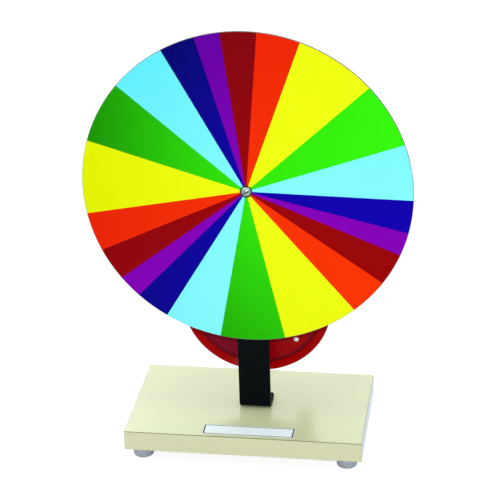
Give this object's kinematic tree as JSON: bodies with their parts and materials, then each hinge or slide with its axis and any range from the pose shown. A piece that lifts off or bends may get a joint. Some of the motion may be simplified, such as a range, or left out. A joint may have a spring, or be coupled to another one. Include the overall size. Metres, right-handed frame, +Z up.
{
  "type": "newton color disc with crank",
  "caption": "Disc of repeated spectral colour sectors on an upright over a footed board, spun by a belt from a red wheel with a crank grip behind it.",
  "frame": {"origin": "on the table under the middle of the whole object, in line with the disc's axis", "axes": "+Z up, -Y out of the coloured face of the disc towards the viewer, +X to the right of the coloured face"},
  "size_m": [0.3, 0.146, 0.4145],
  "materials": {
    "board": "raw particle board",
    "laminate": "cream decorative laminate, satin",
    "edge_band": "pale blue-grey plastic edge band",
    "label": "plain pale plate",
    "foot_rubber": "grey moulded rubber",
    "steel": "zinc plated",
    "black_steel": "black oxide",
    "black_paint": "black enamel, satin",
    "red_paint": "red enamel, gloss",
    "bronze": "sintered bronze",
    "nylon": "natural nylon",
    "aluminium": "mill finish",
    "belt_rubber": "round black rubber",
    "grip_plastic": "turned black plastic",
    "red_film": "gloss film",
    "orange_film": "gloss film",
    "yellow_film": "gloss film",
    "green_film": "gloss film",
    "light_blue_film": "gloss film",
    "dark_blue_film": "gloss film",
    "violet_film": "gloss film"
  },
  "bodies": {
    "stand": {"base_board": "board", "top_laminate": "laminate", "front_edging": "laminate", "rear_edging": "laminate", "left_edging": "edge_band", "right_edging": "edge_band", "label_plate": "label", "rubber_feet": "foot_rubber", "foot_washers": "steel", "foot_screws": "steel", "upright_strip": "black_paint", "strip_bolts": "steel", "strip_washers": "steel", "strip_nuts": "steel", "bearing_housing": "steel", "housing_washer": "steel", "housing_nut": "steel", "shaft_bushes": "bronze", "wheel_axle": "steel", "axle_washer": "steel", "axle_nut": "steel", "axle_end_washer": "steel", "axle_end_screw": "steel", "drive_belt": "belt_rubber"},
    "disc": {"disc_plate": "aluminium", "disc_hub": "aluminium", "hub_grub_screw": "black_steel", "disc_shaft": "steel", "centre_washer": "steel", "centre_screw": "steel", "thrust_washers": "nylon", "small_pulley": "aluminium", "pulley_grub_screw": "black_steel", "red_sectors": "red_film", "orange_sectors": "orange_film", "yellow_sectors": "yellow_film", "green_sectors": "green_film", "light_blue_sectors": "light_blue_film", "dark_blue_sectors": "dark_blue_film", "violet_sectors": "violet_film"},
    "wheel": {"front_dish": "red_paint", "rear_dish": "red_paint", "wheel_hub": "steel", "hub_ring": "steel", "hub_rivets": "steel", "wheel_bush": "bronze", "pin_spacer": "steel", "crank_pin": "steel", "grip_washer": "steel", "grip_screw": "steel"},
    "grip": {"handle_grip": "grip_plastic"}
  },
  "joints": [
    {"name": "wheel_spin", "type": "hinge", "parent": "stand", "child": "wheel", "pos_m": [0, 0, 0.1305], "axis": [0, 1, 0], "continuous": true},
    {"name": "disc_spin", "type": "hinge", "parent": "stand", "child": "disc", "pos_m": [0, 0, 0.2645], "axis": [0, 1, 0], "continuous": true},
    {"name": "grip_spin", "type": "hinge", "parent": "wheel", "child": "grip", "pos_m": [0.03715, 0, 0.09412], "axis": [0, 1, 0], "continuous": true}
  ],
  "couplings": [
    {"joint": "disc_spin", "follows": "wheel_spin", "ratio": 5.725}
  ]
}
